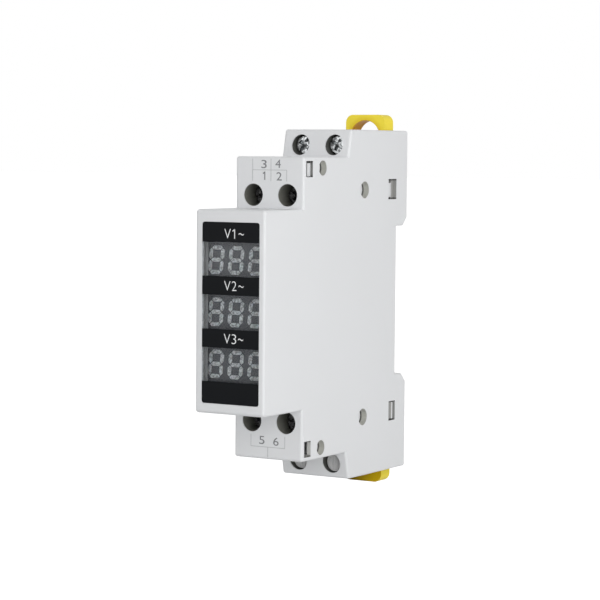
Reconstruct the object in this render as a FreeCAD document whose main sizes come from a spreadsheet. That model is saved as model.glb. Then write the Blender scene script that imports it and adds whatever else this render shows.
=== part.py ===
import FreeCAD, Part
import Sketcher
import os
from FreeCAD import Placement, Rotation, Vector

# Three-phase voltage meter in a one-module housing for a 35 mm rail.
# Front faces -Y, the rail seat is the plane y = 0, and z = 0 is the middle of the rail.

SIZES = [
    ("bodyWidth", 18.0, "one module wide"),
    ("bodyHeight", 80.8, "end to end"),
    ("frontTierHeight", 68.2, "across both front terminal tiers"),
    ("noseHeight", 45.0, "standard nose"),
    ("noseReach", 59.0, "rail seat to nose front"),
    ("frontTierReach", 42.9, "rail seat to the front tiers"),
    ("rearTierReach", 23.2, "rail seat to the inner edge of the rear tiers"),
    ("rearTierSetback", 1.3, "lean of the rear tiers over their height"),
    ("rearDepth", 5.2, "lips behind the rail seat"),
    ("slotHeight", 35.5, "opening for the 35 mm rail"),
    ("slotLeadIn", 1.9, "chamfer at the slot mouth"),
    ("edgeRadius", 0.6, "outer edges of the mouldings"),
    ("noseRadius", 0.8, "front edges of the nose"),
    ("cornerRadius", 0.62, "outer corners of the tiers and lips"),
    ("sideWall", 1.2, "closed side of the shell"),
    ("endWall", 1.2, "walls round the outline"),
    ("noseWall", 1.9, "wall that frames the window"),
    ("seatWall", 1.35, "wall behind the rail seat"),
    ("webThick", 1.4, "divider between neighbouring terminals"),
    ("webInset", 1.0, "dividers begin inside the nose height"),
    ("coverThick", 1.0, "side cover"),
    ("snapLength", 2.85, "front snap windows along the depth"),
    ("snapHeight", 3.6, "front snap windows along the height"),
    ("snapSetback", 2.36, "front snap windows behind the front tier"),
    ("snapInset", 2.72, "front snap windows from the tier's end"),
    ("upperSnapLength", 3.87, "upper rear snap window along the depth"),
    ("upperSnapHeight", 4.8, "upper rear snap window along the height"),
    ("upperSnapReach", 2.37, "upper rear snap window from the rail seat"),
    ("upperSnapLift", 26.55, "upper rear snap window from the middle"),
    ("lowerSnapLength", 3.06, "lower rear snap window along the depth"),
    ("lowerSnapHeight", 4.64, "lower rear snap window along the height"),
    ("lowerSnapReach", 1.7, "lower rear snap window from the rail seat"),
    ("lowerSnapLift", 26.33, "lower rear snap window from the middle"),
    ("snapGap", 0.15, "air beside a snap tab"),
    ("tabDepth", 2.0, "root of a snap tab inside the shell"),
    ("tabRoot", 1.0, "thick root of a snap tab"),
    ("tabSink", 0.6, "upper front tab below the cover's face"),
    ("tabFrontGap", 1.35, "air in front of the upper front tab"),
    ("tabEndGap", 0.48, "air past the end of the upper front tab"),
    ("deepTabSink", 1.6, "lower front tab below the cover's face"),
    ("upperTabSink", 1.0, "upper rear tab below the cover's face"),
    ("upperTabGap", 0.5, "air before and beside the upper rear tab"),
    ("upperTabRearGap", 1.05, "air behind the upper rear tab"),
    ("upperTabEndGap", 0.95, "air past the end of the upper rear tab"),
    ("wedgeSink", 0.3, "lower rear tab below the cover's face"),
    ("wedgeRearGap", 0.6, "air behind the lower rear tab"),
    ("wedgeEndGap", 0.35, "air past both ends of the lower rear tab"),
    ("wedgeCrest", 0.5, "level crest of the lower rear tab"),
    ("wedgeDrop", 1.0, "slope of the lower rear tab that the cover rides over"),
    ("socketSetback", 8.15, "front sockets behind the front tier"),
    ("socketInset", 2.5, "front sockets from the tier's end"),
    ("socketRadius", 1.7, "front sockets"),
    ("rearSocketSetback", 7.55, "rear sockets behind the rear tier"),
    ("rearSocketLift", 26.5, "rear sockets from the middle"),
    ("rearSocketRadius", 1.95, "rear sockets"),
    ("socketStep", 0.05, "socket inside its hole in the cover"),
    ("socketDepth", 1.8, "floor of a socket below the cover's face"),
    ("postWall", 0.55, "post round a socket"),
    ("windowSide", 1.55, "frame beside the lens, before its shift"),
    ("windowShift", 0.2, "lens towards the cover"),
    ("windowAbove", 2.7, "frame above the lens"),
    ("windowBelow", 2.3, "frame below the lens"),
    ("windowCorner", 0.6, "corner radius of the lens"),
    ("lensThick", 1.0, "clear lens"),
    ("lensSeat", 0.35, "ledge that the lens rests on"),
    ("lensGap", 0.05, "air round the lens"),
    ("displaySpacing", 11.5, "pitch of the three displays"),
    ("displayDrop", 0.15, "middle display below the middle"),
    ("displaySideGap", 0.4, "display case to the side wall and the cover"),
    ("displayHeight", 10.2, "display case"),
    ("displayDepth", 7.0, "display case"),
    ("displaySink", 2.5, "display face behind the nose front"),
    ("digitMargin", 0.35, "outer digits from the sides of the display"),
    ("digitHeight", 6.33, "tip to tip"),
    ("digitWidth", 3.9, "upright width before the slant"),
    ("digitSlant", 0.1, "sideways lean per height"),
    ("segmentWidth", 0.9, "one segment"),
    ("segmentGap", 0.16, "tip of a segment to its corner"),
    ("segmentRise", 0.12, "segments above the display face"),
    ("displayBoardThick", 1.6, "display board"),
    ("boardEndGap", 0.3, "display board to the nose walls"),
    ("boardSideGap", 0.1, "display board to the side wall"),
    ("mainBoardThick", 1.2, "main board"),
    ("boardWebGap", 1.0, "main board to the dividers"),
    ("boardsGap", 2.3, "main board behind the display board"),
    ("mainBoardRear", 2.6, "rear edge from the rail seat"),
    ("boardPostReach", 38.5, "front board posts from the rail seat"),
    ("boardPostRear", 7.0, "rear board posts from the rail seat"),
    ("boardPostLift", 15.0, "board posts from the middle"),
    ("boardPostRadius", 1.7, "board posts"),
    ("pipRadius", 0.95, "pip that locates the board"),
    ("pipRise", 2.0, "pip above the post"),
    ("pipGap", 0.1, "air round a pip"),
    ("terminalInset", 4.5, "screws from the housing's sides, before their shift"),
    ("terminalShift", 0.2, "both columns of screws towards the cover"),
    ("frontScrewInset", 8.6, "front screws from the tier's end"),
    ("rearScrewInset", 3.55, "rear screws from the tier's end"),
    ("frontHeadSink", 4.3, "head top of the front screws below the tier"),
    ("rearHeadSink", 2.3, "head top of the rear screws below the tier's inner edge"),
    ("accessBore", 5.05, "screwdriver hole of a front terminal"),
    ("rearAccessBore", 4.8, "screwdriver hole of a rear terminal"),
    ("collarWall", 0.6, "collar round a screwdriver hole"),
    ("headPlay", 0.2, "air round the head in its hole"),
    ("headThick", 1.6, "terminal screw head"),
    ("headChamfer", 0.25, "rim of the head"),
    ("headGap", 0.05, "under the head"),
    ("slotWidth", 0.8, "driver slot"),
    ("slotDepth", 0.8, "driver slot"),
    ("crossWidth", 0.9, "cross recess"),
    ("crossSpan", 3.0, "cross recess tip to tip"),
    ("crossDepth", 1.2, "cross recess"),
    ("shankRadius", 1.5, "M3 shank"),
    ("shankGap", 0.06, "running fit round the shank"),
    ("tipGap", 0.05, "screw tip above the contact bar"),
    ("ledgeThick", 0.8, "ledge that keeps the head"),
    ("runGap", 0.05, "cage below the ledge when it is closed"),
    ("cageTravel", 4.0, "rise of the cage from open to closed"),
    ("cageTopWall", 1.5, "threaded wall of the cage"),
    ("cageSideWall", 0.75, "side walls of the cage"),
    ("cageBottomWall", 1.0, "wall that lifts the wire"),
    ("cageLength", 5.3, "cage along the wire"),
    ("cageShift", 0.75, "middle of the cage inward of its screw"),
    ("barGap", 0.1, "cage above the contact bar"),
    ("barSideGap", 0.15, "cage beside the contact bar"),
    ("barWidth", 4.0, "contact bar"),
    ("barThick", 1.0, "contact bar"),
    ("barOverhang", 0.2, "bar end short of the cage mouth"),
    ("barReach", 3.0, "inner end of the bar past the divider"),
    ("barTailWidth", 2.0, "solder tail"),
    ("wireSpace", 4.8, "open room for the wire below the bar"),
    ("entryWidth", 4.6, "wire entry in the end wall"),
    ("plugPlay", 0.275, "air round a blanking plug"),
    ("plugThick", 1.65, "blanking plug"),
    ("plugStem", 2.2, "stem of the blanking plug"),
    ("clipWidth", 10.6, "rail clip"),
    ("clipRear", 4.3, "rear face of the clip behind the rail seat"),
    ("clipProud", 3.8, "pull loop past the housing's end"),
    ("clipGap", 0.15, "air round the clip"),
    ("clipCorner", 1.9, "round corners of the pull loop"),
    ("clipTravel", 3.0, "outward stroke of the clip"),
    ("railThick", 1.0, "flange of the rail"),
    ("railGap", 0.15, "hook behind the flange"),
    ("hookGrip", 1.75, "hook past the slot edge"),
    ("hookLength", 4.5, "hook along the slide"),
    ("hookRelief", 0.3, "relief of the seat in front of a hook"),
    ("hookLeadIn", 1.7, "slope that rides over the rail"),
    ("stemWidth", 5.4, "stem of the clip"),
    ("armThick", 1.1, "spring arm"),
    ("armGap", 7.75, "free end of the spring arms past the slot edge"),
    ("armRoot", 9.9, "root of the spring arms from the outer end"),
    ("loopLength", 9.9, "thick part of the pull loop"),
    ("eyeRadius", 4.0, "eye of the pull loop"),
    ("eyeInset", 5.35, "centre of the eye from the outer end"),
    ("stopInset", 9.25, "stop peg past the slot edge"),
    ("stopRadius", 1.2, "stop peg"),
    ("stopGap", 0.05, "air round the stop peg"),
    ("ledgeGrip", 1.1, "guide ledge over the clip's edge"),
    ("filmLength", 12.0, "film capacitor along the board"),
    ("filmHeight", 13.0, "film capacitor across the board"),
    ("filmRise", 5.5, "film capacitor above the board"),
    ("filmReach", 31.0, "film capacitor from the rail seat"),
    ("filmDrop", 8.0, "film capacitor below the middle"),
    ("canRadius", 3.15, "filter capacitor"),
    ("canGap", 0.6, "filter capacitor to the cover"),
    ("canReach", 31.0, "filter capacitor from the rail seat"),
    ("canLift", 5.0, "filter capacitor above the middle"),
    ("canGroove", 0.3, "crimp of the filter capacitor"),
    ("bridgeLength", 4.7, "bridge rectifier"),
    ("bridgeHeight", 3.9, "bridge rectifier"),
    ("bridgeRise", 2.5, "bridge rectifier"),
    ("bridgeReach", 16.0, "bridge rectifier from the rail seat"),
    ("bridgeLift", 8.0, "bridge rectifier above the middle"),
    ("chipLength", 9.9, "control chip"),
    ("chipHeight", 3.9, "control chip"),
    ("chipRise", 1.5, "control chip"),
    ("chipReach", 24.0, "control chip from the rail seat"),
    ("chipPitch", 1.27, "legs of the control chip"),
    ("legWidth", 0.42, "legs of the control chip"),
    ("legReach", 1.05, "legs of the control chip"),
    ("legRise", 0.75, "legs of the control chip"),
    ("resistorRadius", 1.2, "input resistor"),
    ("resistorLength", 6.4, "input resistor"),
    ("resistorSpacing", 4.6, "pitch of the input resistors"),
    ("resistorReach", 11.0, "middle input resistor from the rail seat"),
    ("resistorDrop", 6.0, "input resistors below the middle"),
    ("leadWidth", 0.5, "flat lead of an input resistor"),
    ("leadReach", 1.3, "lead past the resistor body"),
    ("pinPitch", 2.54, "header between the boards"),
    ("pinWidth", 0.64, "header pin"),
    ("headerRise", 2.5, "header strip"),
]
FRONT_SOCKETS = ("(Size.frontTierReach - Size.socketSetback)",
                 "(Size.frontTierHeight / 2 - Size.socketInset)", "Size.socketRadius")
REAR_SOCKETS = ("(Size.rearTierReach - Size.rearSocketSetback)", "Size.rearSocketLift",
                "Size.rearSocketRadius")
FRONT_SNAP = ("(Size.frontTierReach - Size.snapSetback)", "(Size.frontTierHeight / 2 - Size.snapInset)",
              "Size.snapLength", "Size.snapHeight")
UPPER_SNAP = ("Size.upperSnapReach", "Size.upperSnapLift", "Size.upperSnapLength", "Size.upperSnapHeight")
LOWER_SNAP = ("Size.lowerSnapReach", "Size.lowerSnapLift", "Size.lowerSnapLength", "Size.lowerSnapHeight")
# Each snap tab: name, its window, upper or lower end, depth below the cover's face,
# then the air in front of it, behind it, towards the middle and towards the end
TABS = [
    ("UpperFrontTab", FRONT_SNAP, 1, "Size.tabSink",
     ("Size.tabFrontGap", "Size.snapGap", "Size.snapGap", "Size.tabEndGap")),
    ("LowerFrontTab", FRONT_SNAP, -1, "Size.deepTabSink",
     ("Size.snapGap", "Size.snapGap", "Size.snapGap", "Size.snapGap")),
    ("UpperRearTab", UPPER_SNAP, 1, "Size.upperTabSink",
     ("Size.upperTabGap", "Size.upperTabRearGap", "Size.upperTabGap", "Size.upperTabEndGap")),
    ("LowerRearTab", LOWER_SNAP, -1, "Size.wedgeSink",
     ("Size.snapGap", "Size.wedgeRearGap", "Size.wedgeEndGap", "Size.wedgeEndGap")),
]
FRONT_SCREWS = ("(Size.frontTierHeight / 2 - Size.frontScrewInset)",
                "(Size.frontTierReach - Size.frontHeadSink)", "Size.accessBore")
REAR_SCREWS = ("(Size.bodyHeight / 2 - Size.rearScrewInset)", "(Size.rearTierReach - Size.rearHeadSink)",
               "Size.rearAccessBore")
# Each live terminal: number, tier, side of the middle, upper or lower end, turn of the driver slot
TERMINALS = [
    (1, FRONT_SCREWS, -1, 1, 20), (2, FRONT_SCREWS, 1, 1, -35),
    (3, REAR_SCREWS, -1, 1, 55), (4, REAR_SCREWS, 1, 1, -30),
    (5, FRONT_SCREWS, -1, -1, 75), (6, FRONT_SCREWS, 1, -1, 10),
]
BLANKS = [(7, REAR_SCREWS, -1, -1), (8, REAR_SCREWS, 1, -1)]
DIGIT_SEGMENTS = "abcdefg"
HEADER_PINS = 6
LEGS_PER_SIDE = 8

doc = FreeCAD.newDocument("PanelMeter")
sheet = doc.addObject("Spreadsheet::Sheet", "Size")
for row, (alias, amount, note) in enumerate(SIZES, 1):
    sheet.set(f"A{row}", alias)
    sheet.set(f"B{row}", str(amount))
    sheet.setAlias(f"B{row}", alias)
    sheet.set(f"C{row}", note)
doc.recompute()


def measure(expression):
    return float(sheet.evalExpression(expression))


def size(alias):
    return float(sheet.get(alias))


def minus(expression):
    return f"-({expression})"


def mirrored(loop):
    """The same outline on the other side of the middle plane, z negated."""
    return [(along, minus(up)) for along, up in loop]


def closed(upper):
    """An outline that is the same above and below the middle, from its upper half."""
    return upper + mirrored(upper)[::-1]


def window(lowA, highA, lowB, highB):
    return [(lowA, lowB), (highA, lowB), (highA, highB), (lowA, highB)]


def centred(middleA, spanA, middleB, spanB):
    return window(f"{middleA} - ({spanA}) / 2", f"{middleA} + ({spanA}) / 2",
                  f"{middleB} - ({spanB}) / 2", f"{middleB} + ({spanB}) / 2")


def draw(body, label, role, start, loops, rings):
    """A sketch across one of the body's own origin planes, moved along the plane's axis to start."""
    sketch = body.newObject("Sketcher::SketchObject", label)
    plane = next(item for item in body.Origin.OriginFeatures if item.Role == role)
    sketch.AttachmentSupport = [(plane, "")]
    sketch.MapMode = "FlatFace"
    towards = minus(start) if role == "XZ_Plane" else start
    sketch.setExpression(".AttachmentOffset.Base.z", towards)
    for loop in loops:
        first = sketch.GeometryCount
        points = [Vector(measure(across), measure(up), 0) for across, up in loop]
        for point, after in zip(points, points[1:] + points[:1]):
            sketch.addGeometry(Part.LineSegment(point, after), False)
        for step, place in enumerate(loop):
            line = first + step
            before = first + (step - 1) % len(loop)
            sketch.addConstraint(Sketcher.Constraint("Coincident", before, 2, line, 1))
            pin(sketch, line, 1, place)
    for across, up, radius in rings:
        centre = Vector(measure(across), measure(up), 0)
        ring = sketch.addGeometry(Part.Circle(centre, Vector(0, 0, 1), measure(radius)), False)
        pin(sketch, ring, 3, (across, up))
        held = sketch.addConstraint(Sketcher.Constraint("Radius", ring, measure(radius)))
        sketch.setExpression(f"Constraints[{held}]", radius)
    return sketch


def pin(sketch, item, point, place):
    for direction, distance in zip(("DistanceX", "DistanceY"), place):
        rule = Sketcher.Constraint(direction, -1, 1, item, point, measure(distance))
        held = sketch.addConstraint(rule)
        sketch.setExpression(f"Constraints[{held}]", distance)


def grow(body, label, role, start, length, loops=(), rings=()):
    """Pad towards the plane's positive axis."""
    before = body.Shape.Volume if body.Tip else 0.0
    pad = body.newObject("PartDesign::Pad", label)
    pad.Profile = draw(body, label + "Sketch", role, start, loops, rings)
    pad.setExpression("Length", length)
    pad.Reversed = role == "XZ_Plane"
    doc.recompute()
    if body.Shape.Volume <= before:
        raise RuntimeError(f"{body.Label}: {label} adds nothing")
    return pad


def carve(body, label, role, start, length, loops=(), rings=()):
    """Pocket towards the plane's positive axis."""
    before = body.Shape.Volume
    pocket = body.newObject("PartDesign::Pocket", label)
    pocket.Profile = draw(body, label + "Sketch", role, start, loops, rings)
    pocket.setExpression("Length", length)
    pocket.Reversed = role != "XZ_Plane"
    doc.recompute()
    if body.Shape.Volume >= before:
        raise RuntimeError(f"{body.Label}: {label} cuts nothing")
    return pocket


def edges(shape, wanted):
    return [f"Edge{number}" for number, edge in enumerate(shape.Edges, 1) if wanted(edge)]


def rounded(body, label, radius, wanted):
    base = body.Tip
    fillet = body.newObject("PartDesign::Fillet", label)
    fillet.Base = (base, edges(base.Shape, wanted))
    fillet.setExpression("Radius", radius)
    doc.recompute()
    return fillet


def newBody(label):
    return doc.addObject("PartDesign::Body", label)


def lies(edge, axis, level):
    """True where the whole edge lies in the plane across the axis at that level."""
    box = edge.BoundBox
    low, high = {"x": (box.XMin, box.XMax), "y": (box.YMin, box.YMax), "z": (box.ZMin, box.ZMax)}[axis]
    return abs(low - level) < 1e-4 and abs(high - level) < 1e-4


# Side outline, from the nose back to the rail slot
HALF_NOSE = "Size.noseHeight / 2"
HALF_FRONT_TIER = "Size.frontTierHeight / 2"
HALF_BODY = "Size.bodyHeight / 2"
HALF_SLOT = "Size.slotHeight / 2"
REAR_TIER_EDGE = "Size.rearTierSetback - Size.rearTierReach"
OUTLINE = closed([
    ("-Size.noseReach", HALF_NOSE),
    ("-Size.frontTierReach", HALF_NOSE),
    ("-Size.frontTierReach", HALF_FRONT_TIER),
    ("-Size.rearTierReach", HALF_FRONT_TIER),
    (REAR_TIER_EDGE, HALF_BODY),
    ("Size.rearDepth", HALF_BODY),
    ("Size.rearDepth", HALF_SLOT + " + Size.slotLeadIn"),
    ("Size.rearDepth - Size.slotLeadIn", HALF_SLOT),
    ("0", HALF_SLOT),
])
INNER = [
    ("Size.noseWall - Size.noseReach", HALF_NOSE + " - Size.endWall"),
    ("Size.endWall - Size.frontTierReach", HALF_NOSE + " - Size.endWall"),
    ("Size.endWall - Size.frontTierReach", HALF_FRONT_TIER + " - Size.endWall"),
    ("Size.endWall - Size.rearTierReach", HALF_FRONT_TIER + " - Size.endWall"),
    ("Size.endWall + " + REAR_TIER_EDGE, HALF_BODY + " - Size.endWall"),
    ("-Size.seatWall", HALF_BODY + " - Size.endWall"),
]
WEB_START = "(Size.noseHeight / 2 - Size.webInset)"
WEB = [(INNER[1][0], WEB_START)] + INNER[2:] + [("-Size.seatWall", WEB_START)]

# Across the width
LEFT = "-Size.bodyWidth / 2"
LEFT_INNER = "Size.sideWall - Size.bodyWidth / 2"
PARTING = "(Size.bodyWidth / 2 - Size.coverThick)"
RIGHT = "Size.bodyWidth / 2"
BAY = "Size.bodyWidth - Size.coverThick - Size.sideWall"
SCREW_SPACING = "(Size.bodyWidth - 2 * Size.terminalInset)"
BAY_MIDDLE = "((Size.sideWall - Size.coverThick) / 2)"
WINDOW_LEFT = "(Size.windowSide + Size.windowShift - Size.bodyWidth / 2)"
WINDOW_RIGHT = "(Size.bodyWidth / 2 + Size.windowShift - Size.windowSide)"
DISPLAY_WIDTH = "(Size.bodyWidth - Size.sideWall - Size.coverThick - 2 * Size.displaySideGap)"
DISPLAY_BOARD_WIDTH = "(Size.bodyWidth - 2 * Size.sideWall - 2 * Size.boardSideGap)"
DIGIT_SPACING = f"(({DISPLAY_WIDTH} - Size.digitWidth) / 2 - Size.digitMargin)"

# Edges of the lens and of the boards
WINDOW_TOP = "(Size.noseHeight / 2 - Size.windowAbove)"
WINDOW_BOTTOM = "(Size.windowBelow - Size.noseHeight / 2)"
DISPLAY_BOARD_HEIGHT = "(Size.noseHeight - 2 * Size.endWall - 2 * Size.boardEndGap)"
DISPLAY_BOARD_FRONT = "(Size.displaySink + Size.displayDepth - Size.noseReach)"
DISPLAY_BOARD_BACK = f"({DISPLAY_BOARD_FRONT} + Size.displayBoardThick)"
MAIN_BOARD_FRONT = f"({DISPLAY_BOARD_BACK} + Size.boardsGap)"
HALF_MAIN_BOARD = f"({WEB_START} - Size.boardWebGap)"

# Along a terminal screw, from its head top towards the rail
LEDGE_FRONT = "(Size.headThick + Size.headGap)"
LEDGE_REAR = "(Size.headThick + Size.headGap + Size.ledgeThick)"
CAGE_FRONT = f"({LEDGE_REAR} + Size.runGap + Size.cageTravel)"
CAGE_INSIDE = f"({CAGE_FRONT} + Size.cageTopWall)"
BAR_FRONT = f"({CAGE_INSIDE} + Size.barGap)"
BAR_REAR = f"({BAR_FRONT} + Size.barThick)"
WIRE_END = f"({BAR_REAR} + Size.wireSpace)"

# Levels of the rail clip
HOOK_FRONT = "(Size.railThick + Size.railGap)"
HOOK_END = "(Size.slotHeight / 2 - Size.hookGrip)"
CLIP_END = "(Size.bodyHeight / 2 + Size.clipProud)"
LOOP_START = f"({CLIP_END} - Size.loopLength)"
STOP_LIFT = f"({HALF_SLOT} + Size.stopInset)"
HALF_CLIP = "Size.clipWidth / 2"
HALF_CHANNEL = "(Size.clipWidth / 2 + Size.clipGap)"


def atScrews(lift):
    """Places of the two screws of a tier, at the upper and the lower end, as (x, z)."""
    return [(f"{side} * {SCREW_SPACING} / 2 + Size.terminalShift", f"{end} * {lift}")
            for side in (-1, 1) for end in (-1, 1)]


def bothEnds(loop):
    return [loop, mirrored(loop)]


def snapWindows():
    windows = []
    for name, (reach, lift, length, height), end, sink, air in TABS:
        loop = centred(minus(reach), length, lift, height)
        windows.append(loop if end > 0 else mirrored(loop))
    return windows


def atSockets(sockets):
    reach, lift, radius = sockets
    return [(minus(reach), f"{end} * {lift}") for end in (-1, 1)]


def socketRings(sockets, less):
    return [(along, up, f"{sockets[2]} - {less}") for along, up in atSockets(sockets)]


def squares(places, span):
    return [centred(across, span, up, span) for across, up in places]


def outlineCorner(along, up):
    """Picks the edges across the width at that corner of the outline, above and below the middle."""
    reach, lift = measure(along), measure(up)
    return lambda edge: (abs(edge.CenterOfMass.y - reach) < 1e-3 and edge.BoundBox.XLength > 1e-3
                         and abs(abs(edge.CenterOfMass.z) - lift) < 1e-3)


def roundOutline(body, side):
    """Rounds the outer corners of a moulding and the rim of its closed side."""
    rounded(body, "NoseEdges", "Size.noseRadius", outlineCorner("-Size.noseReach", HALF_NOSE))
    corners = [outlineCorner("-Size.frontTierReach", HALF_FRONT_TIER), outlineCorner(REAR_TIER_EDGE, HALF_BODY),
               outlineCorner("Size.rearDepth", HALF_BODY)]
    rounded(body, "CornerEdges", "Size.cornerRadius", lambda edge: any(corner(edge) for corner in corners))
    level = measure(side)
    rounded(body, "OuterEdges", "Size.edgeRadius", lambda edge: lies(edge, "x", level))


def makeShell():
    shell = newBody("housing_shell")
    grow(shell, "Block", "YZ_Plane", LEFT, "Size.bodyWidth - Size.coverThick", [OUTLINE])
    roundOutline(shell, LEFT)
    carve(shell, "Cavity", "YZ_Plane", LEFT_INNER, "Size.bodyWidth", [closed(INNER)])
    grow(shell, "Webs", "YZ_Plane", "-Size.webThick / 2", "Size.webThick", bothEnds(WEB))
    makeTerminalBays(shell)
    makeWindowFrame(shell)
    makePosts(shell)
    makeTabs(shell)
    makeClipChannels(shell)
    return shell


def makeTerminalBays(shell):
    tiers = {
        "Front": (FRONT_SCREWS, "-Size.frontTierReach", f"-Size.frontTierReach + Size.endWall / 2"),
        "Rear": (REAR_SCREWS, "-Size.rearTierReach", REAR_TIER_EDGE),
    }
    for name, (tier, face, collarStart) in tiers.items():
        lift, reach, bore = tier
        places = atScrews(lift)
        grow(shell, name + "Collars", "XZ_Plane", collarStart,
             f"{LEDGE_REAR} - {reach} - ({collarStart})", squares(places, f"{bore} + 2 * Size.collarWall"))
        access = [(across, up, f"{bore} / 2") for across, up in places]
        carve(shell, name + "Access", "XZ_Plane", f"{face} - Size.endWall",
              f"{LEDGE_FRONT} - {reach} - ({face} - Size.endWall)", rings=access)
        shanks = [(across, up, "Size.shankRadius + Size.shankGap") for across, up in places]
        carve(shell, name + "ShankBores", "XZ_Plane", f"{LEDGE_FRONT} - {reach} - Size.runGap",
              "Size.ledgeThick + 3 * Size.runGap", rings=shanks)
    for number, tier, side, end, turn in TERMINALS:
        reach = tier[1]
        edge = HALF_FRONT_TIER if tier == FRONT_SCREWS else HALF_BODY
        low = f"{edge} - Size.endWall - Size.runGap" if end > 0 else f"-{edge} - Size.runGap"
        entry = window(f"({side} * {SCREW_SPACING} - Size.entryWidth) / 2 + Size.terminalShift",
                       f"({side} * {SCREW_SPACING} + Size.entryWidth) / 2 + Size.terminalShift",
                       f"{BAR_REAR} - {reach}", f"{WIRE_END} - {reach}")
        carve(shell, f"WireEntry{number}", "XY_Plane", low, "Size.endWall + 2 * Size.runGap", [entry])


def makeWindowFrame(shell):
    recess = window(WINDOW_LEFT, WINDOW_RIGHT, WINDOW_BOTTOM, WINDOW_TOP)
    carve(shell, "LensRecess", "XZ_Plane", "-Size.noseReach - Size.runGap",
          "Size.lensThick + 2 * Size.runGap", [recess])
    sight = window(f"{WINDOW_LEFT} + Size.lensSeat", f"{WINDOW_RIGHT} - Size.lensSeat",
                   f"{WINDOW_BOTTOM} + Size.lensSeat", f"{WINDOW_TOP} - Size.lensSeat")
    carve(shell, "Sight", "XZ_Plane", "-Size.noseReach", "Size.noseWall + Size.runGap", [sight])
    corner = measure("Size.noseReach")
    sides = (measure(WINDOW_LEFT), measure(WINDOW_RIGHT))
    rounded(shell, "RecessCorners", "Size.windowCorner",
            lambda edge: min(abs(edge.CenterOfMass.x - side) for side in sides) < 1e-3
            and abs(edge.CenterOfMass.y + corner) < size("lensThick")
            and abs(edge.Length - size("lensThick") - size("runGap")) < 1e-3)


def makePosts(shell):
    posts = []
    for sockets in (FRONT_SOCKETS, REAR_SOCKETS):
        posts += squares(atSockets(sockets), f"2 * ({sockets[2]} + Size.postWall)")
    grow(shell, "SocketPosts", "YZ_Plane", LEFT_INNER, BAY, posts)
    carve(shell, "Sockets", "YZ_Plane", f"{RIGHT} - Size.socketDepth", "Size.socketDepth",
          rings=socketRings(FRONT_SOCKETS, "Size.socketStep") + socketRings(REAR_SOCKETS, "Size.socketStep"))
    grow(shell, "BoardPosts", "YZ_Plane", LEFT_INNER,
         "(Size.bodyWidth - Size.mainBoardThick) / 2 - Size.sideWall",
         squares(boardPostPlaces(), "2 * Size.boardPostRadius"))
    grow(shell, "BoardPips", "YZ_Plane", "-Size.mainBoardThick", "Size.pipRise",
         squares(boardPostPlaces(), "2 * Size.pipRadius"))


def boardPostPlaces():
    return [(minus(reach), f"{end} * Size.boardPostLift")
            for reach in ("Size.boardPostReach", "Size.boardPostRear") for end in (-1, 1)]


def makeTabs(shell):
    """Snap tabs that stand in the windows of the cover; the lower rear one is a wedge."""
    for name, (reach, lift, length, height), end, sink, (ahead, behind, inward, outward) in TABS:
        root = centred(minus(reach), f"{length} - 2 * Size.snapGap", lift, f"{height} - 2 * Size.snapGap")
        tab = window(f"{ahead} - {reach} - {length} / 2", f"{length} / 2 - {reach} - {behind}",
                     f"{lift} - {height} / 2 + {inward}", f"{lift} + {height} / 2 - {outward}")
        grow(shell, name + "Root", "YZ_Plane", f"{PARTING} - Size.tabDepth", "Size.tabRoot",
             [root if end > 0 else mirrored(root)])
        grow(shell, name, "YZ_Plane", f"{PARTING} - Size.tabDepth",
             f"Size.tabDepth + Size.coverThick - {sink}", [tab if end > 0 else mirrored(tab)])
    reach, lift, length, height = LOWER_SNAP
    top = f"{RIGHT} - Size.wedgeSink"
    crest = f"{length} / 2 - {reach} - Size.wedgeRearGap - Size.wedgeCrest"
    slope = [(f"{top} + Size.runGap", crest), (top, crest), (f"{top} - Size.wedgeDrop", f"-{reach} - {length} / 2"),
             (f"{top} + Size.runGap", f"-{reach} - {length} / 2")]
    carve(shell, "WedgeSlope", "XY_Plane", f"-{lift} - {height} / 2", height, [slope])


def makeClipChannels(shell):
    """Guides for the two sliding clips, open to the slot, the end and, between two ledges, the rear."""
    stroke = f"({HALF_BODY} - {HALF_SLOT} + 2 * Size.endWall)"
    floor = f"{HOOK_FRONT} - Size.clipGap"
    ceiling = "Size.clipRear + Size.clipGap"
    for name, end in (("Upper", 1), ("Lower", -1)):
        inner = f"{HALF_SLOT} - Size.endWall" if end > 0 else f"-{HALF_BODY} - Size.endWall"
        slide = window(minus(HALF_CHANNEL), HALF_CHANNEL, floor, ceiling)
        carve(shell, name + "Channel", "XY_Plane", inner, stroke, [slide])
        gap = window(f"Size.ledgeGrip - {HALF_CLIP}", f"{HALF_CLIP} - Size.ledgeGrip",
                     "Size.clipRear", "Size.rearDepth + Size.endWall")
        carve(shell, name + "Ledges", "XY_Plane", inner, stroke, [gap])
        pocket = window(minus(HALF_CHANNEL), HALF_CHANNEL, minus("Size.clipGap"), "Size.clipRear")
        low = f"{LOOP_START} - Size.clipGap" if end > 0 else f"-{HALF_BODY} - Size.endWall"
        carve(shell, name + "LoopPocket", "XY_Plane", low,
              f"{HALF_BODY} + Size.endWall - {LOOP_START} + Size.clipGap", [pocket])
        grow(shell, name + "Stop", "XZ_Plane", floor, f"Size.clipRear - ({floor}) - Size.clipGap",
             rings=[("0", f"{end} * {STOP_LIFT}", "Size.stopRadius")])
    relief = window(minus(HALF_CHANNEL), HALF_CHANNEL, f"{HOOK_END} - Size.clipGap", HALF_SLOT)
    carve(shell, "HookReliefs", "XZ_Plane", minus("Size.hookRelief"), "Size.hookRelief", bothEnds(relief))


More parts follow.
